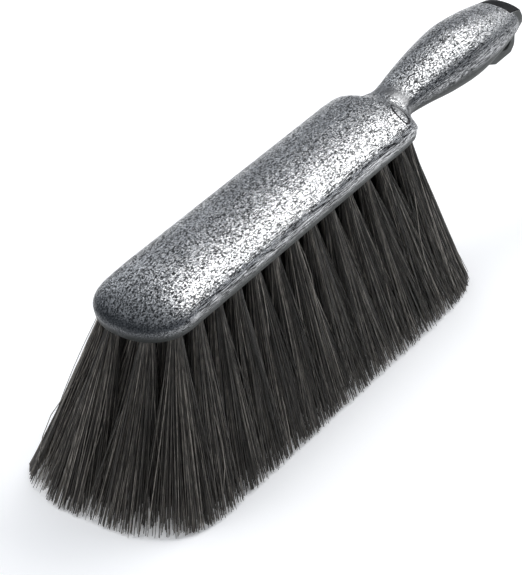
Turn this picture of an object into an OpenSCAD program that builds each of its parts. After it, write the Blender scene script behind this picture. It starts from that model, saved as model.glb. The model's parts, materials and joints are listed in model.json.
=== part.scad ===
// Counter brush: a moulded block and handle with staple-set tufts of filament.
// Millimetres. +X runs from the free end to the handle, +Z is up and the tips rest on z = 0.
// The origin is under the middle of the whole brush, on the surface it stands on.

/* [Block] */
// Length of the block, from its free end to the handle's neck
block_len = 203; // [180:1:230]
// Width of the block
block_w = 46.6; // [44:0.2:60]
// Thickness of the block at its crown
block_h = 16.5; // [15:0.5:24]
// Height of the upright side wall below the dome
wall_h = 6.5; // [5:0.5:9]
// Length over which the free end rounds off in plan
nose_round = 22.5; // [18:0.5:30]
// Length over which the free end rounds up in profile
nose_rise = 40; // [25:1:45]

/* [Handle] */
// Length of the handle beyond the block
handle_len = 110; // [100:1:125]
// Width of the neck
neck_w = 21.4; // [18:0.2:26]
// Width of the grip at its widest
grip_w = 32.4; // [28:0.2:38]
// Thickness of the hanging lug under the handle's end
lug_t = 8; // [6:0.5:10]
// Diameter of the hanging hole through the lug
hang_d = 9; // [7:0.5:9]
// Half width of the insert let into the top of the handle's end
insert_half_w = 8.5; // [6:0.5:9]

/* [Filament] */
// Free length of the filament below the block
trim = 78; // [60:1:85]
// Diameter of each tuft hole
hole_d = 6.2; // [5:0.2:6.4]
// Depth of each tuft hole
hole_depth = 8; // [6:0.5:8]
// Pitch of the tufts along one row
pitch_x = 14.5; // [13.5:0.5:15]
// Pitch of the rows across the block
pitch_y = 8.5; // [8:0.1:8.6]
// Diameter of a tuft's spread tip
tip_d = 17.2; // [12:0.2:17.2]
// Sideways lean of a tuft for each millimetre that its root lies off the middle
splay_y = 1.12; // [1.1:0.01:1.3]
// Lengthways lean of a tuft for each millimetre that its root lies off the middle
splay_x = 0.226; // [0.2:0.001:0.3]

/* [Hidden] */
ROWS = 27;

first_root = 8;          // distance from the free end to the first row of roots
splay_middle = 107;      // distance from the free end to the row that stands upright
corner_y = 16.8;         // how far the corner tufts' roots lie off the middle
hole_r = hole_d / 2;
throat_r = hole_r - 0.5; // a tuft is drawn in a little where it leaves its hole
dome_n = 2.2;            // squareness of the dome's section, 2 is an ellipse
shoulder_dip = 0.75;     // how much less square it is where the block meets the neck
shoulder_reach = 4.5;    // how far that goes to each side
nose_n = 2.4;            // squareness of the free end in plan
box_n = 9;               // squareness of the block's lower corners
box_cut = 1.06;          // how far the flat underside is cut into that rounding
tuck = 1.1;              // how far the side wall leans in at the underside
overall = block_len + handle_len;
neck_at = block_len + 12;  // distance from the free end to the thinnest of the neck
ring_points = 40;
nose_rings = 9;
body_rings = 7;
shoulder_rings = 14;
tail_rings = 24;
eps = 0.01;

// Anchor: a strip of flat wire that holds a folded tuft in its hole
anchor_t = 0.5;
anchor_h = 1.8;
anchor_bite = 0.7;       // how far each end of the anchor bites into the block
anchor_cover = 0.8;      // filament folded over the anchor

// Lug and insert
insert_from = block_len + 99;
insert_floor = trim + 4;
insert_sink = 0.6;
lug_end = overall + 3;
hang_r = hang_d / 2;
hang_x = lug_end - 8;
hang_z = trim - 6.5;
lug_corner = 3;

// The brush is centred on its whole length: from the foremost tip to the lug
tip_reach = root_x(1) + lean_x(root_x(1)) - tip_d / 2;
centre_x = (tip_reach + lug_end) / 2;

// Stations along the shoulders, the neck and the handle.
// Each has the distance from the free end, the half width, and the heights of the
// underside, of the widest line and of the crown, above the underside of the block,
// and how oval the lower half is: 0 is the block's flat underside, 1 is an oval grip.
tail = [
  [block_len - 20, block_w / 2 - 0.8, 0, wall_h, block_h, 0],
  [block_len - 8, block_w / 2 - 1.4, 0, wall_h, block_h - 0.8, 0],
  [block_len - 2, block_w / 2 - 3.0, 0, wall_h, block_h - 2.0, 0],
  [block_len + 2, block_w / 2 - 8.3, 0, wall_h + 0.2, block_h - 3.0, 0.3],
  [block_len + 6, neck_w / 2 + 0.6, 0.2, wall_h + 0.4, block_h - 3.2, 0.7],
  [block_len + 11, neck_w / 2, 0, wall_h + 0.6, block_h - 2.5, 1],
  [block_len + 25, neck_w / 2 + 1.8, -1.2, wall_h + 0.8, block_h, 1],
  [block_len + 45, grip_w / 2 - 1.4, -4.6, wall_h + 0.6, block_h + 2.6, 1],
  [block_len + 65, grip_w / 2, -5.8, wall_h + 0.4, block_h + 3.4, 1],
  [block_len + 82, grip_w / 2 - 0.8, -3.2, wall_h, block_h + 1.4, 1],
  [block_len + 98, grip_w / 2 - 3.0, -0.4, wall_h, block_h - 1.6, 1],
  [overall - 5, grip_w / 2 - 4.9, 0, wall_h - 0.1, block_h - 2.9, 1],
  [overall - 1.5, grip_w / 2 - 6.0, 0.4, wall_h - 0.5, block_h - 3.7, 1],
  [overall, grip_w / 2 - 7.2, 1.2, wall_h - 0.9, block_h - 4.9, 1]];

function row_name(i) = str("tuft_row_", i < 10 ? "0" : "", i);

// Smooth curve through the stations, column c, at distance x
function slope(i, c) =
  let (a = max(i - 1, 0), b = min(i + 1, len(tail) - 1))
  (tail[b][c] - tail[a][c]) / (tail[b][0] - tail[a][0]);
function station(x, i = 0) = i >= len(tail) - 2 || x < tail[i + 1][0] ? i : station(x, i + 1);
function along(x, c) =
  let (i = station(x), w = tail[i + 1][0] - tail[i][0], t = (x - tail[i][0]) / w)
  (2 * t * t * t - 3 * t * t + 1) * tail[i][c]
  + (t * t * t - 2 * t * t + t) * w * slope(i, c)
  + (3 * t * t - 2 * t * t * t) * tail[i + 1][c]
  + (t * t * t - t * t) * w * slope(i + 1, c);

// The free end rounds off in plan and rises in profile
function nose_plan(x) = pow(1 - pow(max(0, 1 - x / nose_round), nose_n), 1 / nose_n);
function nose_lift(x) = sqrt(1 - pow(max(0, 1 - x / nose_rise), 2));
function nose_wall(x) = wall_h * (0.56 + 0.44 * nose_lift(x));

// One station of the outer skin: half width, underside, widest line, crown, ovalness
function skin_at(x) =
  x < tail[0][0]
  ? [(block_w / 2 - x / tail[0][0]) * nose_plan(x), 0, nose_wall(x),
     nose_wall(x) + (block_h - wall_h) * nose_lift(x), 0]
  : [for (c = [1:5]) along(x, c)];

// Squareness of the dome's section, less where the block meets the neck
function dome_at(x) = dome_n - shoulder_dip * exp(-pow((x - block_len) / shoulder_reach, 2));

function power(v, e) = sign(v) * pow(abs(v), e);
function skin_point(x, s, a) =
  let (low = sin(a) < 0,
       oval = min(1, max(0, s[4])),
       n = low ? box_n + (dome_n - box_n) * oval : dome_at(x),
       cut = low ? box_cut + (1 - box_cut) * oval : 1,
       up = max(-1, cut * power(sin(a), 2 / n)),
       inset = low ? -tuck * up * (1 - oval) : 0,
       across = (s[0] - inset * s[0] * 2 / block_w) * power(cos(a), 2 / n))
  [x + inset * max(0, 1 - x / nose_round), across,
   trim + s[2] + up * (low ? s[2] - s[1] : s[3] - s[2])];
function ring(x) =
  let (s = skin_at(x))
  [for (k = [0:ring_points - 1]) skin_point(x, s, 360 * k / ring_points)];

stops = concat(
  [for (k = [0:nose_rings]) nose_rise * (1 - cos(8 + 82 * k / nose_rings))],
  [for (k = [1:body_rings]) nose_rise + (tail[0][0] - nose_rise) * k / body_rings],
  [for (k = [1:shoulder_rings]) tail[0][0] + (neck_at - tail[0][0]) * k / shoulder_rings],
  [for (k = [1:tail_rings]) neck_at + (overall - neck_at) * sin(90 * k / tail_rings)]);

// Outer skin of the block and handle, as one closed sweep
module skin() {
  n = ring_points;
  last = len(stops) - 1;
  points = [for (x = stops) each ring(x)];
  sides = [for (i = [0:last - 1], k = [0:n - 1])
    let (a = i * n + k, b = i * n + (k + 1) % n)
    each [[a, b + n, b], [a, a + n, b + n]]];
  front = [for (k = [1:n - 2]) [0, k, k + 1]];
  back = [for (k = [n - 1:-1:0]) last * n + k];
  polyhedron(points, concat(sides, front, [back]), convexity = 6);
}

// Roots and lean of the tufts. Odd rows have two tufts and even rows have three,
// and the last row has one more in each corner of the block.
function root_x(i) = first_root + (i - 1) * pitch_x / 2;
function root_ys(i) =
  i == ROWS ? [-corner_y, -pitch_y, pitch_y, corner_y]
  : i % 2 == 1 ? [-pitch_y, pitch_y] : [-2 * pitch_y, 0, 2 * pitch_y];
function lean_x(x) = splay_x * (x - splay_middle);
function lean_y(y) = splay_y * y;

module at_roots(i) {
  for (y = root_ys(i)) translate([root_x(i), y, trim]) children();
}

module anchor() {
  translate([0, 0, hole_depth - anchor_cover - anchor_h / 2])
    cube([anchor_t, 2 * (hole_r + anchor_bite), anchor_h], center = true);
}

// A tuft spreads from its hole to a flat-cut tip on the ground
module tuft(x, y) {
  dx = lean_x(x);
  dy = lean_y(y);
  reach = norm([dx, dy, trim]);
  tilt = acos(trim / reach);
  over = 8;
  spread = (tip_d / 2 * trim / reach - throat_r) / reach;
  difference() {
    union() {
      cylinder(h = hole_depth, r = hole_r, $fn = 32);
      intersection() {
        rotate([0, 0, atan2(dy, dx)]) rotate([0, 180 - tilt, 0]) translate([0, 0, -over])
          cylinder(h = reach + 2 * over, r1 = throat_r - spread * over,
                   r2 = throat_r + spread * (reach + over), $fn = 48);
        translate([-trim, -trim, -trim]) cube([2 * trim, 2 * trim, trim]);
      }
    }
    anchor();
  }
}

module tuft_row(i) {
  color("#2b2826")
    for (y = root_ys(i)) translate([root_x(i), y, trim]) tuft(root_x(i), y);
}

module tuft_anchors() {
  color("#b8b8b4") for (i = [1:ROWS]) at_roots(i) anchor();
}

// Lug under the handle's end, with its round hanging hole
module lug() {
  difference() {
    translate([0, lug_t / 2, 0]) rotate([90, 0, 0]) linear_extrude(lug_t) {
      polygon([[lug_end - 36, trim + 3], [lug_end - 26, hang_z - 4],
               [lug_end - 17, hang_z - 8], [lug_end - lug_corner, hang_z - 8],
               [lug_end, hang_z - 8 + lug_corner], [lug_end, hang_z + 1],
               [lug_end - 3.5, trim + 3]]);
      translate([lug_end - lug_corner, hang_z - 8 + lug_corner]) circle(lug_corner, $fn = 32);
    }
    hang_hole();
  }
}

module hang_hole() {
  translate([hang_x, 0, hang_z]) rotate([90, 0, 0])
    cylinder(h = lug_t + 2, r = hang_r, center = true, $fn = 48);
}

module insert_pocket() {
  translate([insert_from, -insert_half_w, insert_floor])
    cube([overall, 2 * insert_half_w, block_h + 10]);
}

module block_handle() {
  color("#8d9092") difference() {
    union() {
      skin();
      lug();
    }
    insert_pocket();
    hang_hole();
    for (i = [1:ROWS]) at_roots(i) {
      translate([0, 0, -eps]) cylinder(h = hole_depth + eps, r = hole_r, $fn = 32);
      anchor();
    }
  }
}

// Dark insert that closes the top of the handle's end, a little below its skin
module hanger_insert() {
  color("#26272a") intersection() {
    translate([-insert_sink, 0, -insert_sink]) skin();
    insert_pocket();
  }
}

module place() {
  translate([-centre_x, 0, 0]) children();
}

place() block_handle();
place() hanger_insert();
place() tuft_anchors();
for (i = [1:ROWS]) {
  place() tuft_row(i);
}
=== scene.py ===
import json
import math

import bmesh
import bpy
import numpy as np
from mathutils import Matrix, Vector


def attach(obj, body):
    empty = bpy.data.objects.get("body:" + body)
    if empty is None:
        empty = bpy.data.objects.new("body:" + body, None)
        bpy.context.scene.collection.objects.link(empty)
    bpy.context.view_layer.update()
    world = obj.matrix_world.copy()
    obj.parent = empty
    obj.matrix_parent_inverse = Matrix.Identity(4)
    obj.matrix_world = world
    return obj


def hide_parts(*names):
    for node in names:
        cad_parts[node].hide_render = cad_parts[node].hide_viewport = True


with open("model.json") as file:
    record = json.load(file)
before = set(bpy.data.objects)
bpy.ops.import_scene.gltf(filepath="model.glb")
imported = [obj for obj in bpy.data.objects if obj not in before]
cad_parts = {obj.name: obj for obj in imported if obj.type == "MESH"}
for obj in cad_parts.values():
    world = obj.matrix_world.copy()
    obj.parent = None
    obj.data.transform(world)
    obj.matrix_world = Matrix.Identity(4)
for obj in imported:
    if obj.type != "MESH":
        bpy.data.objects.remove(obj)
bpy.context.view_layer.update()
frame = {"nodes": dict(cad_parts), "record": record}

MM = 0.001

# ---------------------------------------------------------------- named sizes
# Millimetres, measured from the block's free end, as the CAD source has them.
BLOCK_W = 46.6
BLOCK_H = 16.5
WALL_H = 6.5
NOSE_ROUND = 22.5
NOSE_RISE = 40.0
TRIM = 78.0
DOME_N = 2.2
SHOULDER_DIP = 0.75
SHOULDER_REACH = 4.5
BLOCK_LEN = 203.0
NOSE_N = 2.4
BOX_N = 9.0
BOX_CUT = 1.06
TUCK = 1.1
TAPER = 1.0
# Height of the wall at the tip of the nose, as a share of WALL_H, and the rest of it
NOSE_WALL = (0.56, 0.44)
OVERALL = 313.0
HANG_X = 308.0
HOLE_R = 3.1
HOLE_DEPTH = 8.0
ROWS = 27
FIRST_ROOT = 8.0
PITCH_X = 14.5
PITCH_Y = 8.5
CORNER_Y = 16.8
SPLAY_MIDDLE = 107.0
SPLAY_X = 0.226
LUG_T = 8.0
LUG_OUTLINE = [(280, 81), (290, 67.5), (299, 63.5), (313, 63.5), (316, 66.5), (316, 72.5), (312.5, 81)]
LUG_CORNER = 3.0
INSERT_FROM = 302.0
INSERT_HALF_W = 8.5
INSERT_FLOOR = TRIM + 4

# Where the rings of points change their spacing
NECK_END = 216.0
GRIP_END = 300.0
# How near to an edge counts as on it, and how far below the block the hole cutters start
NEAR = 0.02
CUTTER_START = 2.0
# How far the other cutters reach past the block
PAST_END = 20.0
PAST_SIDES = 30.0

# Looks that the CAD leaves out: a plain ring on the near shoulder, and the skin's grain
RING_AT = (197.0, -13.3)
RING_HALF = (6.8, 2.7)
RING_TURN = math.atan2(-12.0, -7.0)
RING_POINTS = 96
RING_GROOVE_R = 0.32
# Its dark line, painted shade in the groove, fades out between these distances from it, and shows above
# these heights
RING_LINE = (0.38, 0.58)
RING_FLOOR = (TRIM + 7, TRIM + 7.5)
# Size of a flake, a streak and a cloud in x, y and z
FLAKE = (0.68, 0.46, 0.46)
STREAK = (7.5, 0.34, 0.34)
CLOUD = (26, 12, 12)
FLAKE_TILT = 0.22
# Where the skin is smooth, where it gets painted shade, and where its grain is calmer under painted shade
# in the neck's valley
RIM_FADE = 2.4
END_FACE_AT = 304.0
PAINTED_SHADE_END_REACH = 27.0
PAINTED_SHADE_HANDLE_FROM = 205.0
NECK_CALM_SHADE_AT = 210.5
NECK_CALM_SHADE_REACH = 3.5

# The mount in the record says how far the hanging hole is from the part's middle
hang = next(m for m in frame["record"]["mounts"] if m["name"] == "hang_hole")
HANG_Z = hang["pos_m"][2] / MM
CENTRE_X = HANG_X - hang["pos_m"][0] / MM
TO_FRAME = Matrix.Scale(MM, 4) @ Matrix.Translation((-CENTRE_X, 0, 0))

# Stations: distance, half width, underside, widest line, crown, ovalness
TAIL = np.array([
    [183, 22.5, 0, 6.5, 16.5, 0], [195, 21.9, 0, 6.5, 15.7, 0], [201, 20.3, 0, 6.5, 14.5, 0],
    [205, 15.0, 0, 6.7, 13.5, 0.3], [209, 11.3, 0.2, 6.9, 13.3, 0.7], [214, 10.7, 0, 7.1, 14.0, 1],
    [228, 12.5, -1.2, 7.3, 16.5, 1], [248, 14.8, -4.6, 7.1, 19.1, 1], [268, 16.2, -5.8, 6.9, 19.9, 1],
    [285, 15.4, -3.2, 6.5, 17.9, 1], [301, 13.2, -0.4, 6.5, 14.9, 1], [308, 11.3, 0, 6.4, 13.6, 1],
    [311.5, 10.2, 0.4, 6.0, 12.8, 1], [313, 9.0, 1.2, 5.6, 11.6, 1]])

rng = np.random.default_rng(20)


# ------------------------------------------------------------------ the skin
def tail_at(x):
    """Smooth curve through the stations at distances x: half, under, line, crown, oval."""
    xs, vs = TAIL[:, 0], TAIL[:, 1:]
    lo = np.clip(np.arange(len(xs)) - 1, 0, None)
    hi = np.clip(np.arange(len(xs)) + 1, None, len(xs) - 1)
    slope = (vs[hi] - vs[lo]) / (xs[hi] - xs[lo])[:, None]
    i = np.clip(np.searchsorted(xs, x, side="right") - 1, 0, len(xs) - 2)
    w = (xs[i + 1] - xs[i])[:, None]
    t = ((x - xs[i])[:, None]) / w
    return ((2 * t**3 - 3 * t**2 + 1) * vs[i] + (t**3 - 2 * t**2 + t) * w * slope[i]
            + (3 * t**2 - 2 * t**3) * vs[i + 1] + (t**3 - t**2) * w * slope[i + 1])


def section(x):
    """Half width, underside, widest line, crown and ovalness at distances x."""
    x = np.asarray(x, float)
    lift = np.sqrt(1 - np.clip(1 - x / NOSE_RISE, 0, 1) ** 2)
    plan = (1 - np.clip(1 - x / NOSE_ROUND, 0, 1) ** NOSE_N) ** (1 / NOSE_N)
    wall = WALL_H * (NOSE_WALL[0] + NOSE_WALL[1] * lift)
    zero = np.zeros_like(x)
    head = np.stack([(BLOCK_W / 2 - TAPER * x / TAIL[0, 0]) * plan, zero, wall,
                     wall + (BLOCK_H - WALL_H) * lift, zero], 1)
    return np.where((x < TAIL[0, 0])[:, None], head, tail_at(np.clip(x, TAIL[0, 0], OVERALL)))


def power(v, e):
    return np.sign(v) * np.abs(v) ** e


def dome_at(x):
    """Squareness of the dome's section, less where the block meets the neck."""
    return DOME_N - SHOULDER_DIP * np.exp(-((x - BLOCK_LEN) / SHOULDER_REACH) ** 2)


def skin_points(x, angles):
    """Points of the outer skin: one row for each distance, one column for each angle."""
    s = section(x)
    half, under, line, crown, oval = (c[:, None] for c in s.T)
    oval = np.clip(oval, 0, 1)
    low = np.sin(angles) < -1e-9
    n = np.where(low, BOX_N + (DOME_N - BOX_N) * oval, dome_at(x)[:, None])
    cut = np.where(low, BOX_CUT + (1 - BOX_CUT) * oval, 1.0)
    up = np.maximum(-1, cut * power(np.sin(angles), 2 / n))
    inset = np.where(low, -TUCK * up * (1 - oval), 0)
    across = (half - inset * half * 2 / BLOCK_W) * power(np.cos(angles), 2 / n)
    z = TRIM + line + up * np.where(low, line - under, crown - line)
    xx = x[:, None] + inset * np.clip(1 - x[:, None] / NOSE_ROUND, 0, None)
    return np.stack([xx, across, z], 2)


def ring_angles(oval):
    """Angles that spread the points evenly over a flat-bottomed or an oval section."""
    upper = np.linspace(0, np.pi, 97)[:-1]
    # Up the wall and then in along the bottom, closer together at the corner between them
    rise = np.concatenate([np.linspace(0, 0.86, 9), np.linspace(0.89, 0.955, 7)])
    run = np.concatenate([np.linspace(0.9, 0.86, 3), np.linspace(0.8, 0.0, 12)])
    quarter = np.concatenate([np.arcsin(rise**4.5), np.arccos(run**4.5)])
    quarter = np.unique(np.round(quarter, 9))
    box = np.concatenate([np.pi + quarter, 2 * np.pi - quarter[::-1][1:-1]])
    even = np.pi + np.linspace(0, np.pi, len(box) + 1)[:-1]
    lower = box[None] + (even - box)[None] * np.clip(oval, 0, 1)[:, None]
    return np.concatenate([np.repeat(upper[None], len(oval), 0), lower], 1)


def stops():
    """Distances of the rings, closer where the skin bends more."""
    nose = NOSE_RISE * (1 - np.cos(np.radians(np.linspace(2.5, 90, 48))))
    body = np.linspace(NOSE_RISE, TAIL[0, 0], 40)[1:]
    shoulder = np.linspace(TAIL[0, 0], NECK_END, 45)[1:]
    grip = np.linspace(NECK_END, GRIP_END, 50)[1:]
    end = OVERALL - (OVERALL - GRIP_END) * (1 - np.sin(np.radians(np.linspace(0, 90, 30))))
    return np.concatenate([nose, body, shoulder, grip, end[1:]])


def grid_mesh(name, points):
    """A closed skin from rings of points, with a cap on each end."""
    rings, n, _ = points.shape
    mesh = bpy.data.meshes.new(name)
    a = np.arange(rings - 1)[:, None] * n + np.arange(n)[None]
    b = np.arange(rings - 1)[:, None] * n + (np.arange(n)[None] + 1) % n
    quads = np.stack([a, b, b + n, a + n], 2).reshape(-1, 4)
    caps = [list(range(n))[::-1], [(rings - 1) * n + k for k in range(n)]]
    mesh.from_pydata(points.reshape(-1, 3).tolist(), [], quads.tolist() + caps)
    mesh.validate()
    bm = bmesh.new()
    bm.from_mesh(mesh)
    bmesh.ops.recalc_face_normals(bm, faces=bm.faces)
    bm.to_mesh(mesh)
    bm.free()
    return mesh


def show(mesh, name):
    obj = bpy.data.objects.new(name, mesh)
    bpy.context.scene.collection.objects.link(obj)
    return obj


def cut_with(base, tool, operation):
    """The base mesh after one exact boolean; the tool goes away."""
    mod = base.modifiers.new("cut", "BOOLEAN")
    mod.operation = operation
    mod.solver = "EXACT"
    mod.object = tool
    bpy.context.view_layer.update()
    done = bpy.data.meshes.new_from_object(base.evaluated_get(bpy.context.evaluated_depsgraph_get()))
    base.modifiers.clear()
    old = base.data
    base.data = done
    bpy.data.meshes.remove(old)
    bpy.data.objects.remove(tool)


def prism(name, outline, y0, y1, bevel=0.0):
    """An outline in x and z, extruded across y, with its edges rounded."""
    bm = bmesh.new()
    face = bm.faces.new([bm.verts.new((x, y0, z)) for x, z in outline])
    out = bmesh.ops.extrude_face_region(bm, geom=[face])
    bmesh.ops.translate(bm, vec=(0, y1 - y0, 0),
                        verts=[v for v in out["geom"] if isinstance(v, bmesh.types.BMVert)])
    bmesh.ops.recalc_face_normals(bm, faces=bm.faces)
    if bevel:
        bmesh.ops.bevel(bm, geom=list(bm.edges), offset=bevel, segments=3,
                        profile=0.5, affect="EDGES", clamp_overlap=True)
    mesh = bpy.data.meshes.new(name)
    bm.to_mesh(mesh)
    bm.free()
    return show(mesh, name)


def box_tool(name, lo, hi):
    outline = [(lo[0], lo[2]), (hi[0], lo[2]), (hi[0], hi[2]), (lo[0], hi[2])]
    return prism(name, outline, lo[1], hi[1])


def rods(name, ends, radius, sides):
    """Closed round bars between pairs of points, in one mesh."""
    verts, faces = [], []
    for p, q in ends:
        p, q = Vector(p), Vector(q)
        turn = (q - p).to_track_quat("Z", "Y")
        first = len(verts)
        for end in (p, q):
            for k in range(sides):
                a = 2 * math.pi * k / sides
                verts.append(end + turn @ Vector((radius * math.cos(a), radius * math.sin(a), 0)))
        for k in range(sides):
            j = (k + 1) % sides
            faces.append([first + k, first + j, first + sides + j, first + sides + k])
        faces.append([first + k for k in range(sides)][::-1])
        faces.append([first + sides + k for k in range(sides)])
    mesh = bpy.data.meshes.new(name)
    mesh.from_pydata(verts, [], faces)
    return show(mesh, name)


def tube_loop(name, path, radius, sides=8):
    """A closed round tube along a closed path."""
    path = np.asarray(path, float)
    n = len(path)
    ahead = np.roll(path, -1, 0) - np.roll(path, 1, 0)
    ahead /= np.linalg.norm(ahead, axis=1)[:, None]
    side = np.cross(ahead, [0, 0, 1.0])
    side /= np.linalg.norm(side, axis=1)[:, None]
    up = np.cross(side, ahead)
    a = 2 * np.pi * np.arange(sides) / sides
    across = np.cos(a)[None, :, None] * side[:, None] + np.sin(a)[None, :, None] * up[:, None]
    pts = path[:, None] + radius * across
    faces = [[i * sides + k, i * sides + (k + 1) % sides,
              (i + 1) % n * sides + (k + 1) % sides, (i + 1) % n * sides + k]
             for i in range(n) for k in range(sides)]
    mesh = bpy.data.meshes.new(name)
    mesh.from_pydata(pts.reshape(-1, 3).tolist(), [], faces)
    bm = bmesh.new()
    bm.from_mesh(mesh)
    bmesh.ops.recalc_face_normals(bm, faces=bm.faces)
    bm.to_mesh(mesh)
    bm.free()
    return show(mesh, name)


def on_crown(x, y):
    """Height of the upper skin at a distance x and a width y."""
    s = section(np.atleast_1d(x))
    half, _, line, crown, _ = s.T
    c = np.clip(np.abs(y) / half, 0, 0.999)
    n = dome_at(np.atleast_1d(x))
    return TRIM + line + (1 - c**n) ** (1 / n) * (crown - line)


def float_attribute(mesh, name, values):
    layer = mesh.attributes.new(name, "FLOAT", "POINT")
    layer.data.foreach_set("value", np.asarray(values, np.float32))


def finish_piece(obj, material, sharp=None):
    obj.data.materials.clear()
    obj.data.materials.append(material)
    obj.data.polygons.foreach_set("use_smooth", [True] * len(obj.data.polygons))
    if sharp:
        obj.data.set_sharp_from_angle(angle=math.radians(sharp))
    obj.data.update()


# ------------------------------------------------------------- node materials
def new_material(name):
    mat = bpy.data.materials.new(name)
    mat.use_nodes = True
    nodes = mat.node_tree.nodes
    nodes.clear()
    out = nodes.new("ShaderNodeOutputMaterial")
    bsdf = nodes.new("ShaderNodeBsdfPrincipled")
    mat.node_tree.links.new(bsdf.outputs["BSDF"], out.inputs["Surface"])
    return mat, mat.node_tree, bsdf


class Graph:
    """Short names for the nodes of one material."""

    def __init__(self, tree):
        self.tree = tree

    def put(self, socket, value):
        if isinstance(value, bpy.types.NodeSocket):
            self.tree.links.new(value, socket)
        elif value is not None:
            socket.default_value = value

    def math(self, op, a, b=None):
        n = self.tree.nodes.new("ShaderNodeMath")
        n.operation = op
        self.put(n.inputs[0], a)
        self.put(n.inputs[1], b)
        return n.outputs[0]

    def place(self, size):
        """Object coordinates in millimetres, divided by the size of a feature."""
        source = self.tree.nodes.new("ShaderNodeTexCoord").outputs["Object"]
        n = self.tree.nodes.new("ShaderNodeMapping")
        self.put(n.inputs["Vector"], source)
        n.inputs["Scale"].default_value = [1 / (MM * s) for s in size]
        return n.outputs[0]

    def noise(self, vector, detail, rough):
        n = self.tree.nodes.new("ShaderNodeTexNoise")
        self.put(n.inputs["Vector"], vector)
        n.inputs["Scale"].default_value = 1.0
        n.inputs["Detail"].default_value = detail
        n.inputs["Roughness"].default_value = rough
        return n.outputs["Fac"]

    def cells(self, vector):
        """A colour of its own for each cell."""
        n = self.tree.nodes.new("ShaderNodeTexVoronoi")
        self.put(n.inputs["Vector"], vector)
        n.inputs["Scale"].default_value = 1.0
        return n.outputs["Color"]

    def grey(self, colour):
        """The first channel of a colour."""
        n = self.tree.nodes.new("ShaderNodeSeparateColor")
        self.put(n.inputs[0], colour)
        return n.outputs[0]

    def span(self, value, lo, hi, to_lo=0.0, to_hi=1.0):
        """A value between lo and hi, carried over to between to_lo and to_hi."""
        n = self.tree.nodes.new("ShaderNodeMapRange")
        n.clamp = True
        for k, v in enumerate((value, lo, hi, to_lo, to_hi)):
            self.put(n.inputs[k], v)
        return n.outputs[0]

    def mix(self, fac, a, b):
        n = self.tree.nodes.new("ShaderNodeMix")
        n.data_type = "RGBA"
        self.put(n.inputs[0], fac)
        self.put(n.inputs[6], a)
        self.put(n.inputs[7], b)
        return n.outputs[2]

    def vector(self, op, a, b=None):
        n = self.tree.nodes.new("ShaderNodeVectorMath")
        n.operation = op
        self.put(n.inputs[0], a)
        self.put(n.inputs[1], b)
        return n.outputs[0]

    def length(self, a):
        n = self.tree.nodes.new("ShaderNodeVectorMath")
        n.operation = "LENGTH"
        self.put(n.inputs[0], a)
        return n.outputs["Value"]

    def attribute(self, name):
        n = self.tree.nodes.new("ShaderNodeAttribute")
        n.attribute_name = name
        return n.outputs["Fac"]

    def bump(self, height, distance, strength=1.0, normal=None):
        n = self.tree.nodes.new("ShaderNodeBump")
        self.put(n.inputs["Height"], height)
        n.inputs["Distance"].default_value = distance
        self.put(n.inputs["Strength"], strength)
        self.put(n.inputs["Normal"], normal)
        return n.outputs[0]


def rgb(r, g, b):
    return (r, g, b, 1.0)


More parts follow.
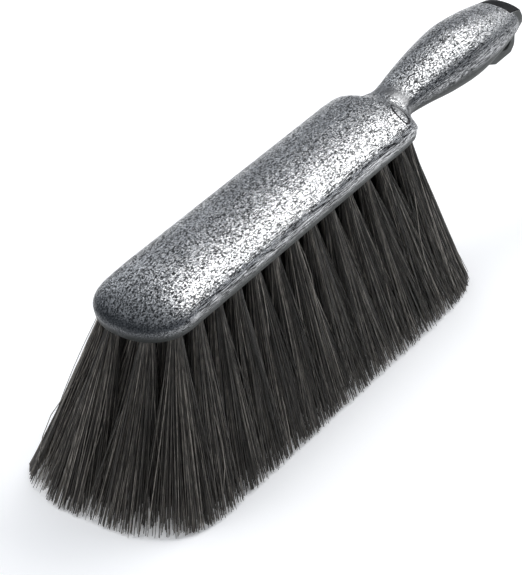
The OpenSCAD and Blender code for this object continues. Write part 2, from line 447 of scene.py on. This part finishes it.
def block_material():
    """Silver-grey moulding full of bright flakes, drawn out in short streaks along it."""
    mat, tree, bsdf = new_material("flaked_silver_grey")
    g = Graph(tree)
    # Three of these marks are painted light: shade on the free end and the handle, shade in the neck's
    # valley, and a highlight along the pocket's edges
    lower, neck_calm_and_shade, painted_edge_highlight, painted_shade_mask = (g.attribute(name) for name in ("lower", "neck_calm_and_shade", "painted_edge_highlight", "painted_shade_mask"))
    calm = g.math("MULTIPLY", g.span(lower, 0, 1, 1.0, 0.35), g.span(neck_calm_and_shade, 0, 1, 1.0, 0.3))
    normal = tree.nodes.new("ShaderNodeNewGeometry").outputs["Normal"]
    facing = tree.nodes.new("ShaderNodeSeparateXYZ")
    g.put(facing.inputs[0], normal)
    # Faces that turn away from the top have more streaks, and get darker painted shade on the free end and
    # the handle
    side = g.span(facing.outputs[2], 0.95, 0.45)
    shade = g.math("MULTIPLY", g.span(facing.outputs[2], 1.0, 0.68), painted_shade_mask)
    flakes = g.cells(g.place(FLAKE))
    fleck = g.span(g.grey(flakes), 0.25, 0.75)
    streak = g.span(g.noise(g.place(STREAK), detail=1, rough=0.5), 0.42, 0.58)
    cloud = g.noise(g.place(CLOUD), detail=3, rough=0.55)
    share = g.span(side, 0, 1, 0.3, 0.7)
    grain = g.math("ADD", fleck, g.math("MULTIPLY", g.math("SUBTRACT", streak, fleck), share))
    grain = g.math("ADD", grain, g.math("MULTIPLY", g.math("SUBTRACT", cloud, 0.5), 0.3))
    swing = g.math("MULTIPLY", g.math("SUBTRACT", grain, 0.5), calm)
    level = g.span(g.math("ADD", swing, 0.5), 0.22, 0.97)
    dark_flake = rgb(0.025, 0.026, 0.027)
    bright_flake = rgb(0.68, 0.685, 0.69)
    in_shade = rgb(0.035, 0.039, 0.044)
    neck_painted_shade = rgb(0.14, 0.14, 0.142)
    plain_rim = rgb(0.055, 0.06, 0.055)
    painted_shade_rim = rgb(0.016, 0.018, 0.016)
    edge_highlight_grey = rgb(0.5, 0.5, 0.5)
    groove_shade = rgb(0.02, 0.02, 0.022)
    colour = g.mix(level, dark_flake, bright_flake)
    # Painted shade on faces turned from the top, at the free end and on the handle
    colour = g.mix(g.math("MULTIPLY", shade, 0.8), colour, in_shade)
    # Painted shade in the neck's valley, where the grain is also calmer
    colour = g.mix(g.math("MULTIPLY", neck_calm_and_shade, 0.7), colour, neck_painted_shade)
    # The smooth rim's own grey, with painted shade on it at the free end and on the handle
    rim = g.mix(painted_shade_mask, plain_rim, painted_shade_rim)
    colour = g.mix(g.math("MULTIPLY", lower, 0.93), colour, rim)
    # Painted highlight along the edges of the insert's pocket
    colour = g.mix(g.math("MULTIPLY", painted_edge_highlight, 0.6), colour, edge_highlight_grey)
    # Painted shade in the ring's groove
    colour = g.mix(ring_line(g), colour, groove_shade)
    g.put(bsdf.inputs["Base Color"], colour)
    g.put(bsdf.inputs["Metallic"], g.span(lower, 0, 1, 0.85, 0.03))
    rough = g.math("ADD", g.span(level, 0, 1, 0.38, 0.24), g.math("MULTIPLY", lower, 0.22))
    g.put(bsdf.inputs["Roughness"], rough)
    bsdf.inputs["Specular IOR Level"].default_value = 0.25
    # Each flake lies at its own small angle
    tilt = g.vector("SUBTRACT", flakes, (0.5, 0.5, 0.5))
    tilt = g.vector("MULTIPLY", tilt, g.math("MULTIPLY", calm, FLAKE_TILT))
    normal = g.vector("NORMALIZE", g.vector("ADD", normal, tilt))
    g.put(bsdf.inputs["Normal"], g.bump(streak, 0.00003, calm, normal))
    return mat


def ring_line(g):
    """1 along the plain ring in the near shoulder, where its groove gets painted shade, 0 away from it."""
    source = g.tree.nodes.new("ShaderNodeTexCoord").outputs["Object"]
    middle = tuple(MM * v for v in (RING_AT[0] - CENTRE_X, RING_AT[1], 0))
    flat = g.vector("SUBTRACT", source, middle)
    spin = g.tree.nodes.new("ShaderNodeMapping")
    g.put(spin.inputs["Vector"], flat)
    spin.inputs["Rotation"].default_value = (0, 0, -RING_TURN)
    ovalled = g.vector("MULTIPLY", spin.outputs[0], (1 / (MM * RING_HALF[0]), 1 / (MM * RING_HALF[1]), 0))
    slope = g.vector("MULTIPLY", ovalled, (1 / RING_HALF[0], 1 / RING_HALF[1], 0))
    reach = g.length(ovalled)
    off = g.math("ABSOLUTE", g.math("SUBTRACT", reach, 1.0))
    off = g.math("DIVIDE", g.math("MULTIPLY", off, reach), g.length(slope))
    parts = g.tree.nodes.new("ShaderNodeSeparateXYZ")
    g.put(parts.inputs[0], source)
    on_top = g.span(parts.outputs[2], MM * RING_FLOOR[0], MM * RING_FLOOR[1])
    return g.math("MULTIPLY", g.span(off, *RING_LINE, 1.0, 0.0), on_top)


def insert_material():
    """Matt black moulding with a faint pebble and rubbed patches."""
    mat, tree, bsdf = new_material("matt_black")
    g = Graph(tree)
    pebble = g.noise(g.place((0.5, 0.5, 0.5)), detail=3, rough=0.6)
    wear = g.span(g.noise(g.place((4, 2.5, 2.5)), detail=3, rough=0.6), 0.4, 0.75)
    g.put(bsdf.inputs["Base Color"], g.mix(wear, rgb(0.0015, 0.0015, 0.002), rgb(0.007, 0.007, 0.0075)))
    g.put(bsdf.inputs["Roughness"], g.span(wear, 0, 1, 0.5, 0.65))
    bsdf.inputs["Specular IOR Level"].default_value = 0.09
    g.put(bsdf.inputs["Normal"], g.bump(pebble, 0.00002))
    return mat


def filament_material():
    """Dark fibre whose strands differ in tone, with painted glints along them and fine lines along each
    one.
    """
    mat, tree, bsdf = new_material("dark_fibre")
    g = Graph(tree)
    # Painted glints: brighter stretches of tone along each strand
    painted_glint = g.span(g.noise(g.place((1.2, 1.2, 16)), detail=1, rough=0.5), 0.38, 0.62, 0.5, 1.15)
    tone = g.math("MULTIPLY", g.attribute("tone"), painted_glint)
    along = g.attribute("along")
    band = g.noise(g.place((2.2, 2.2, 9)), detail=2, rough=0.6)
    colour = g.mix(tone, rgb(0.016, 0.0145, 0.012), rgb(0.33, 0.3, 0.262))
    faded = g.span(g.math("MULTIPLY", band, along), 0.25, 0.75, 0.0, 0.3)
    colour = g.mix(faded, colour, rgb(0.1, 0.09, 0.08))
    g.put(bsdf.inputs["Base Color"], colour)
    g.put(bsdf.inputs["Roughness"], g.span(tone, 0, 1, 0.46, 0.34))
    g.put(bsdf.inputs["Normal"], g.bump(g.noise(g.place((0.15, 0.15, 3.0)), detail=2, rough=0.6), 0.00001))
    return mat


def wire_material():
    """Drawn steel strip with fine die lines."""
    mat, tree, bsdf = new_material("drawn_wire")
    g = Graph(tree)
    line = g.noise(g.place((0.12, 3.0, 0.12)), detail=3, rough=0.6)
    g.put(bsdf.inputs["Base Color"], g.mix(line, rgb(0.42, 0.42, 0.43), rgb(0.68, 0.68, 0.69)))
    g.put(bsdf.inputs["Roughness"], g.span(line, 0, 1, 0.25, 0.42))
    bsdf.inputs["Metallic"].default_value = 1.0
    g.put(bsdf.inputs["Normal"], g.bump(line, 0.00001))
    return mat


# ------------------------------------------------------------ block and handle
def rounded_corner(outline, index, radius, steps=8):
    """The outline with one corner turned into an arc."""
    p, c, q = (Vector(outline[(index + k) % len(outline)]) for k in (-1, 0, 1))
    u, v = (p - c).normalized(), (q - c).normalized()
    reach = radius / math.tan(u.angle(v) / 2)
    a, b = c + u * reach, c + v * reach
    middle = c + (u + v).normalized() * (radius / math.sin(u.angle(v) / 2))
    arc = []
    for k in range(steps + 1):
        d = (a - middle).lerp(b - middle, k / steps).normalized() * radius
        arc.append(tuple(middle + d))
    return outline[:index] + arc + outline[index + 1:]


def roots(row):
    """Where the tufts of one row start; row 1 is the one at the free end."""
    x = FIRST_ROOT + (row - 1) * PITCH_X / 2
    across = (-PITCH_Y, PITCH_Y) if row % 2 else (-2 * PITCH_Y, 0, 2 * PITCH_Y)
    if row == ROWS:
        across = (-CORNER_Y, -PITCH_Y, PITCH_Y, CORNER_Y)
    return [(x, y) for y in across]


def lug_solid():
    """The hanging lug under the handle's end, with its outer corners rounded."""
    outline = [tuple(map(float, p)) for p in LUG_OUTLINE]
    for corner, radius in ((5, 1.2), (4, LUG_CORNER), (2, 2.0), (1, 2.0)):
        outline = rounded_corner(outline, corner, radius)
    return prism("lug", outline, -LUG_T / 2, LUG_T / 2, bevel=0.7)


def ring_groove():
    """A thin tube along the plain ring, which lies in the skin of the near shoulder."""
    t = 2 * np.pi * np.arange(RING_POINTS) / RING_POINTS
    long_way = np.array([math.cos(RING_TURN), math.sin(RING_TURN)])
    short_way = np.array([-long_way[1], long_way[0]])
    ring = (np.array(RING_AT) + np.cos(t)[:, None] * long_way * RING_HALF[0]
            + np.sin(t)[:, None] * short_way * RING_HALF[1])
    path = np.column_stack([ring, on_crown(ring[:, 0], ring[:, 1])])
    return tube_loop("ring_cutter", path, RING_GROOVE_R)


def mark_block(mesh):
    """Point attributes that say where the skin is smooth, where it gets painted shade, where the pocket's
    edges get a painted highlight, and where it is calm with painted shade at the neck.
    """
    co = np.zeros(len(mesh.vertices) * 3)
    mesh.vertices.foreach_get("co", co)
    co = co.reshape(-1, 3)
    x, y, z = co.T
    s = section(np.clip(x, 0.1, OVERALL))
    # The smooth rim ends just above the widest line on the handle, and below it on the block
    rim_share = np.where(x < BLOCK_LEN, 0.8, 1.0)
    rim_top = TRIM + rim_share * s[:, 2] + 0.4
    below = np.clip((rim_top - z) / RIM_FADE, 0, 1)
    under_crown = np.clip((TRIM + s[:, 3] - 1.0 - z) / 1.0, 0, 1)
    end_face = np.clip((x - END_FACE_AT) / 1.5, 0, 1) * under_crown
    on_lug = (z < TRIM - 0.5) & (x > LUG_OUTLINE[0][0])
    float_attribute(mesh, "lower", np.where(on_lug, 1, np.maximum(below, end_face)))
    # Painted shade towards the free end and, half as strong, on the handle
    free_end = np.clip(1.1 - x / PAINTED_SHADE_END_REACH, 0, 1)
    on_handle = np.clip((x - PAINTED_SHADE_HANDLE_FROM) / 10, 0, 1)
    float_attribute(mesh, "painted_shade_mask", free_end + on_handle * 0.5)
    # Painted highlight along the edges of the insert's pocket
    across_rim = np.abs(np.abs(y) - INSERT_HALF_W) < NEAR
    along_rim = np.abs(x - INSERT_FROM) < NEAR
    pocket = (x > INSERT_FROM - NEAR) & (np.abs(y) < INSERT_HALF_W + NEAR) & (z > INSERT_FLOOR + 1)
    float_attribute(mesh, "painted_edge_highlight", pocket & (across_rim | along_rim))
    # Calmer grain and painted shade in the neck's valley
    float_attribute(mesh, "neck_calm_and_shade", np.exp(-((x - NECK_CALM_SHADE_AT) / NECK_CALM_SHADE_REACH) ** 2))


def build_block(material):
    x = stops()
    angles = ring_angles(section(x)[:, 4])
    body = show(grid_mesh("moulded_block_handle", skin_points(x, angles)), "moulded_block_handle")
    cut_with(body, lug_solid(), "UNION")
    lo = (INSERT_FROM, -INSERT_HALF_W, INSERT_FLOOR)
    hi = (OVERALL + PAST_END, INSERT_HALF_W, TRIM + PAST_SIDES)
    cut_with(body, box_tool("pocket", lo, hi), "DIFFERENCE")
    hang_ends = ((HANG_X, -PAST_SIDES, HANG_Z), (HANG_X, PAST_SIDES, HANG_Z))
    cut_with(body, rods("hang", [hang_ends], hang["dims"]["r_mm"], sides=64), "DIFFERENCE")
    every_root = [root for row in range(1, ROWS + 1) for root in roots(row)]
    holes = [((px, py, TRIM - CUTTER_START), (px, py, TRIM + HOLE_DEPTH)) for px, py in every_root]
    cut_with(body, rods("tuft_holes", holes, HOLE_R, sides=24), "DIFFERENCE")
    cut_with(body, ring_groove(), "DIFFERENCE")
    mark_block(body.data)
    body.data.transform(TO_FRAME)
    finish_piece(body, material, sharp=38)
    return body


def build_insert(material):
    """Black insert in the handle's end, with a small step before its outer edge."""
    gap = 0.15
    step_at, step_run, step_down = 308.4, 0.6, 0.45
    x = np.linspace(INSERT_FROM + gap, OVERALL - 0.3, 26)
    x = np.unique(np.concatenate([x, [308.4, 308.7, 309.0]]))
    y = np.linspace(-INSERT_HALF_W + gap, INSERT_HALF_W - gap, 33)
    crown = section(x)[:, 3]
    step = step_down * np.clip((x - step_at) / step_run, 0, 1)
    top = on_crown(np.full(len(y), INSERT_FROM), y)[None] + (crown - crown[0] - step)[:, None] - 0.25
    nx, ny = len(x), len(y)
    grid = np.stack([np.repeat(x[:, None], ny, 1), np.repeat(y[None], nx, 0), top], 2)
    floor_grid = grid.copy()
    floor_grid[..., 2] = INSERT_FLOOR + gap
    index = np.arange(nx * ny).reshape(nx, ny)
    faces = [[index[i, j], index[i + 1, j], index[i + 1, j + 1], index[i, j + 1]]
             for i in range(nx - 1) for j in range(ny - 1)]
    under = [[v + nx * ny for v in f][::-1] for f in faces]
    edge = list(index[:, 0]) + list(index[-1, 1:]) + list(index[-2::-1, -1]) + list(index[0, -2:0:-1])
    sides = [[a_, b_, b_ + nx * ny, a_ + nx * ny] for a_, b_ in zip(edge, edge[1:] + edge[:1])]
    mesh = bpy.data.meshes.new("end_insert")
    mesh.from_pydata(np.concatenate([grid.reshape(-1, 3), floor_grid.reshape(-1, 3)]).tolist(), [],
                     [[int(v) for v in f] for f in faces + under + sides])
    bm = bmesh.new()
    bm.from_mesh(mesh)
    bmesh.ops.recalc_face_normals(bm, faces=bm.faces)
    sharp = [e for e in bm.edges if e.calc_face_angle(0) > math.radians(50)]
    bmesh.ops.bevel(bm, geom=sharp, offset=0.3, segments=3, profile=0.5, affect="EDGES", clamp_overlap=True)
    bm.to_mesh(mesh)
    bm.free()
    piece = show(mesh, "end_insert")
    piece.data.transform(TO_FRAME)
    finish_piece(piece, material, 40)
    return piece


# ------------------------------------------------------------------ filaments
# Sideways lean, a little more than the CAD's cones have, and less in the first row, which
# leans further forward
SPLAY_Y = 1.18
FRONT_SPLAY_Y = 0.55
FRONT_PUSH = 3.5
STRANDS = 340
STRAND_R = 0.2
ROOT_DISC = 2.85
TIP_DISC = 13.0
LOOSE_SHARE = 0.008
SEGMENTS = 8
SIDES = 3
# How far each strand starts inside its hole, and how much narrower the bundle is there
TUCKED_IN = 4.0
TUCKED_SHARE = 0.96
# The turn from each strand to the next one that spreads them evenly over a disc
SUNFLOWER_TURN = 2.39996
# Random spread: of a tuft's lean, of its strands' tips, and of how far the tips end off the ground
LEAN_SPREAD = 0.7
STRAY_SHARE = 0.12
STRAY_SPREAD = 6.0
TIP_SPREAD = 2.8
TRIM_SPREAD = 0.02
SHORT_SPREAD = 1.4
SHORTEST_GAP = 0.3
# How a strand's run departs from a straight line: its curve, and its sideways swing in mm
CURVE = 1.08
CURVE_SPREAD = 0.03
SWING = 0.55
LOOSE_SWING = 1.4
LOOSE_BENDS = 2.0
# Thickness at the tip, as a share, and the tone of the few pale strands and of the loose ones
TIP_SHARE = 0.8
PALE_SHARE = 0.3
LOOSE_TONE = 1.1
# Outline that the strands aim inside: its half width, then where its front and back curves
# start, how far they reach and how square they are
TIP_HALF_Y = 47.0
FRONT_FROM = 20.0
FRONT_REACH = 47.0
FRONT_N = 3.0
BACK_FROM = 101.0
BACK_REACH = 124.5
BACK_N = 6.9


def strand_mesh(name, centres, radius, tone):
    """Closed thin strands: centres is strands x rings x 3, radius strands x rings."""
    count, rings, _ = centres.shape
    ahead = np.gradient(centres, axis=1)
    ahead /= np.linalg.norm(ahead, axis=2)[..., None]
    side = np.cross(ahead, np.array([0.31, 0.95, 0.0]))
    side /= np.linalg.norm(side, axis=2)[..., None]
    up = np.cross(side, ahead)
    a = 2 * np.pi * (np.arange(SIDES)[None, :] / SIDES + rng.random((count, 1)))
    a = a[:, None, :, None]
    across = np.cos(a) * side[:, :, None] + np.sin(a) * up[:, :, None]
    verts = centres[:, :, None] + radius[:, :, None, None] * across
    n = rings * SIDES
    i, k = np.meshgrid(np.arange(rings - 1), np.arange(SIDES), indexing="ij")
    j = (k + 1) % SIDES
    corners = [i * SIDES + k, i * SIDES + j, (i + 1) * SIDES + j, (i + 1) * SIDES + k]
    quads = np.stack(corners, -1).reshape(-1, 4)
    base = np.arange(count)[:, None, None] * n
    quads = (quads[None] + base).reshape(-1, 4)
    caps = np.array([[2, 1, 0], [n - 3, n - 2, n - 1]])
    caps = (caps[None] + base).reshape(-1, 3)
    mesh = bpy.data.meshes.new(name)
    mesh.vertices.add(count * n)
    mesh.vertices.foreach_set("co", verts.reshape(-1))
    loops = np.concatenate([quads.reshape(-1), caps.reshape(-1)])
    mesh.loops.add(len(loops))
    mesh.loops.foreach_set("vertex_index", loops.astype(np.int32))
    starts = np.concatenate([np.arange(len(quads)) * 4, len(quads) * 4 + np.arange(len(caps)) * 3])
    mesh.polygons.add(len(starts))
    mesh.polygons.foreach_set("loop_start", starts.astype(np.int32))
    mesh.update(calc_edges=True)
    float_attribute(mesh, "tone", np.repeat(tone, n))
    float_attribute(mesh, "along", np.tile(np.repeat(np.linspace(0, 1, rings), SIDES), count))
    return mesh


def tuft(x, y):
    """Centre lines of one tuft's strands, from inside its hole to just above the ground, and
    which of them are loose."""
    n = STRANDS
    r = np.sqrt((np.arange(n) + 0.5) / n)
    turn = np.arange(n) * SUNFLOWER_TURN + rng.random() * 6.28
    disc = np.column_stack([r * np.cos(turn), r * np.sin(turn)])
    root = np.column_stack([x + disc[:, 0] * ROOT_DISC, y + disc[:, 1] * ROOT_DISC])
    first = x <= FIRST_ROOT
    splay = FRONT_SPLAY_Y if first else SPLAY_Y
    lean = np.array([SPLAY_X * (x - SPLAY_MIDDLE) - FRONT_PUSH * first, splay * y])
    lean += rng.normal(0, LEAN_SPREAD, 2)
    spread = np.where(rng.random(n) < STRAY_SHARE, STRAY_SPREAD, TIP_SPREAD)[:, None]
    tip = np.array([x, y]) + lean + disc * TIP_DISC + rng.normal(0, 1, (n, 2)) * spread
    # No strand aims outside the outline of the whole brush, which is bowed in front and squarer behind
    wide = np.abs(tip[:, 1]) / TIP_HALF_Y
    front = np.clip(FRONT_FROM - tip[:, 0], 0, None) / FRONT_REACH
    back = np.clip(tip[:, 0] - BACK_FROM, 0, None) / BACK_REACH
    far_front = (front**FRONT_N + wide**FRONT_N) ** (1 / FRONT_N)
    far_back = (back**BACK_N + wide**BACK_N) ** (1 / BACK_N)
    far = np.maximum(far_front, far_back)
    middle = np.column_stack([np.clip(tip[:, 0], FRONT_FROM, BACK_FROM), np.zeros(n)])
    inside = (1 - np.abs(rng.normal(0, TRIM_SPREAD, n))) / far
    tip = middle + (tip - middle) * np.where(far > 1, inside, 1)[:, None]
    short = np.abs(rng.normal(0, SHORT_SPREAD, n)) + SHORTEST_GAP
    stop = 1 - short / TRIM
    curve = CURVE + rng.normal(0, CURVE_SPREAD, n)
    s = np.linspace(0, 1, SEGMENTS + 1)[None] * stop[:, None]
    travel = s[..., None] ** curve[:, None, None]
    way = root[:, None] + (tip - root)[:, None] * travel
    # A few loose strands bend further and more often than the others
    loose = rng.random(n) < LOOSE_SHARE
    swing = rng.normal(0, 1, (n, 2)) * np.where(loose, LOOSE_SWING, SWING)[:, None]
    bends = rng.uniform(0.8, 1.6, n) * np.where(loose, LOOSE_BENDS, 1.0)
    wave = swing[:, None] * np.sin(np.pi * s * bends[:, None])[..., None]
    way = way + wave
    z = TRIM * (1 - s)
    line = np.concatenate([way, z[..., None]], 2)
    head = line[:, :1].copy()
    head[:, :, 2] = TRIM + TUCKED_IN
    head[:, :, :2] = np.array([x, y]) + (head[:, :, :2] - np.array([x, y])) * TUCKED_SHARE
    return np.concatenate([head, line], 1), loose


def build_row(row, material):
    """All the strands of one row of tufts, as one piece."""
    tufts = [tuft(x, y) for x, y in roots(row)]
    lines = np.concatenate([strands for strands, _ in tufts])
    loose = np.concatenate([marks for _, marks in tufts])
    n = len(lines)
    radius = np.full(lines.shape[:2], STRAND_R) * rng.uniform(0.85, 1.12, (n, 1))
    radius[:, -1] *= TIP_SHARE
    tone = np.where(rng.random(n) < PALE_SHARE, rng.uniform(0.35, 1.0, n), rng.uniform(0, 0.25, n))
    tone = np.where(loose, LOOSE_TONE, tone)
    mesh = strand_mesh(f"filament_row_{row:02d}", lines, radius, tone)
    mesh.transform(TO_FRAME)
    piece = show(mesh, f"filament_row_{row:02d}")
    finish_piece(piece, material)
    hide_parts(f"tuft_row_{row:02d}")
    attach(piece, "root")
    return piece


silver = block_material()
black = insert_material()
fibre = filament_material()
steel = wire_material()

block = build_block(silver)
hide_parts("block_handle")
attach(block, "root")

insert = build_insert(black)
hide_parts("hanger_insert")
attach(insert, "root")

for number in range(1, ROWS + 1):
    build_row(number, fibre)

anchors = frame["nodes"]["tuft_anchors"]
anchors.data.materials.clear()
anchors.data.materials.append(steel)

# ---------------------------------------------------------------------- stage
FLOOR_SIDE = 30.0
FLOOR_DROP = 0.0002
floor_mesh = bpy.data.meshes.new("floor")
h = FLOOR_SIDE / 2
floor_mesh.from_pydata([(-h, -h, 0), (h, -h, 0), (h, h, 0), (-h, h, 0)], [], [[0, 1, 2, 3]])
floor = show(floor_mesh, "floor")
floor.location.z = -FLOOR_DROP
pale, _, pale_bsdf = new_material("pale_floor")
pale_bsdf.inputs["Base Color"].default_value = rgb(0.93, 0.93, 0.935)
pale_bsdf.inputs["Roughness"].default_value = 0.9
pale_bsdf.inputs["Specular IOR Level"].default_value = 0.1
pale_bsdf.inputs["Emission Color"].default_value = rgb(1, 1, 1)
pale_bsdf.inputs["Emission Strength"].default_value = 0.2
floor.data.materials.append(pale)


BRUSH_MIDDLE = (0, 0, 0.05)


def softbox(name, direction, distance, width, height, radiance, colour=(1, 1, 1), aim=BRUSH_MIDDLE):
    """A soft panel that faces the brush, in metres; the camera doesn't see it."""
    light = bpy.data.lights.new(name, "AREA")
    light.shape = "RECTANGLE"
    light.size, light.size_y = width, height
    light.energy = radiance * math.pi * width * height
    light.color = colour
    obj = bpy.data.objects.new(name, light)
    bpy.context.scene.collection.objects.link(obj)
    d = Vector(direction).normalized()
    obj.location = Vector(aim) + d * distance
    obj.rotation_euler = (-d).to_track_quat("-Z", "Y").to_euler()
    obj.visible_camera = False
    return obj


softbox("key", (0.72, -0.10, 0.68), distance=1.5, width=1.25, height=1.2, radiance=4.1,
        aim=(0.06, 0, 0.05))
softbox("far_side", (0.5, 0.75, 0.45), distance=1.5, width=0.8, height=0.6, radiance=0.9,
        colour=(0.93, 0.96, 1.0))
# These two light the brush but don't show in its reflections
front_fill = softbox("front_fill", (-0.8, -0.35, 0.5), distance=1.5, width=0.8, height=0.5, radiance=1.5)
front_fill.visible_glossy = False
above = softbox("above", (-0.1, 0.42, 0.9), distance=1.6, width=1.0, height=0.6, radiance=5.6)
above.visible_glossy = False

world = bpy.data.worlds.new("studio")
bpy.context.scene.world = world
world.use_nodes = True
wt = world.node_tree
wg = Graph(wt)
wt.nodes.clear()
w_out = wt.nodes.new("ShaderNodeOutputWorld")
w_bg = wt.nodes.new("ShaderNodeBackground")
wt.links.new(w_bg.outputs[0], w_out.inputs[0])
w_dir = wt.nodes.new("ShaderNodeTexCoord").outputs["Generated"]
w_xyz = wt.nodes.new("ShaderNodeSeparateXYZ")
wt.links.new(w_dir, w_xyz.inputs[0])
WALLS = rgb(0.17, 0.195, 0.235)
CEILING = rgb(0.26, 0.28, 0.31)
LOW_WALL = rgb(0.85, 0.86, 0.87)
ceiling = wg.span(w_xyz.outputs[2], 0.2, 0.9)
sky = wg.mix(ceiling, WALLS, CEILING)
# Low down, towards the free end and the far side, the room is nearly white
away = wg.math("SUBTRACT", w_xyz.outputs[1], w_xyz.outputs[0])
horizon = wg.math("MULTIPLY", wg.span(w_xyz.outputs[2], 0.11, 0.08), wg.span(away, -0.3, 0.3))
sky = wg.mix(horizon, sky, LOW_WALL)
wt.links.new(sky, w_bg.inputs["Color"])
w_bg.inputs["Strength"].default_value = 1.0

# --------------------------------------------------------------------- camera
AZIMUTH = math.radians(-56.58)
ELEVATION = math.radians(33.92)
ROLL = math.radians(0.11)
TARGET = Vector(((105.09 - CENTRE_X) * MM, 0, 44.35 * MM))
DISTANCE = 1.58408
SENSOR = 36.0
LENS = 227.35
level_reach = math.cos(ELEVATION)
to_camera = Vector((math.sin(AZIMUTH) * level_reach, -math.cos(AZIMUTH) * level_reach, math.sin(ELEVATION)))
cam_data = bpy.data.cameras.new("camera")
cam_data.sensor_width = SENSOR
cam_data.lens = LENS
cam_data.clip_end = 100
cam = bpy.data.objects.new("camera", cam_data)
bpy.context.scene.collection.objects.link(cam)
cam.location = TARGET + to_camera * DISTANCE
turn = (-to_camera).to_track_quat("-Z", "Y").to_matrix().to_4x4() @ Matrix.Rotation(ROLL, 4, "Z")
cam.rotation_euler = turn.to_euler()
bpy.context.scene.camera = cam
bpy.context.scene.view_settings.view_transform = "Standard"
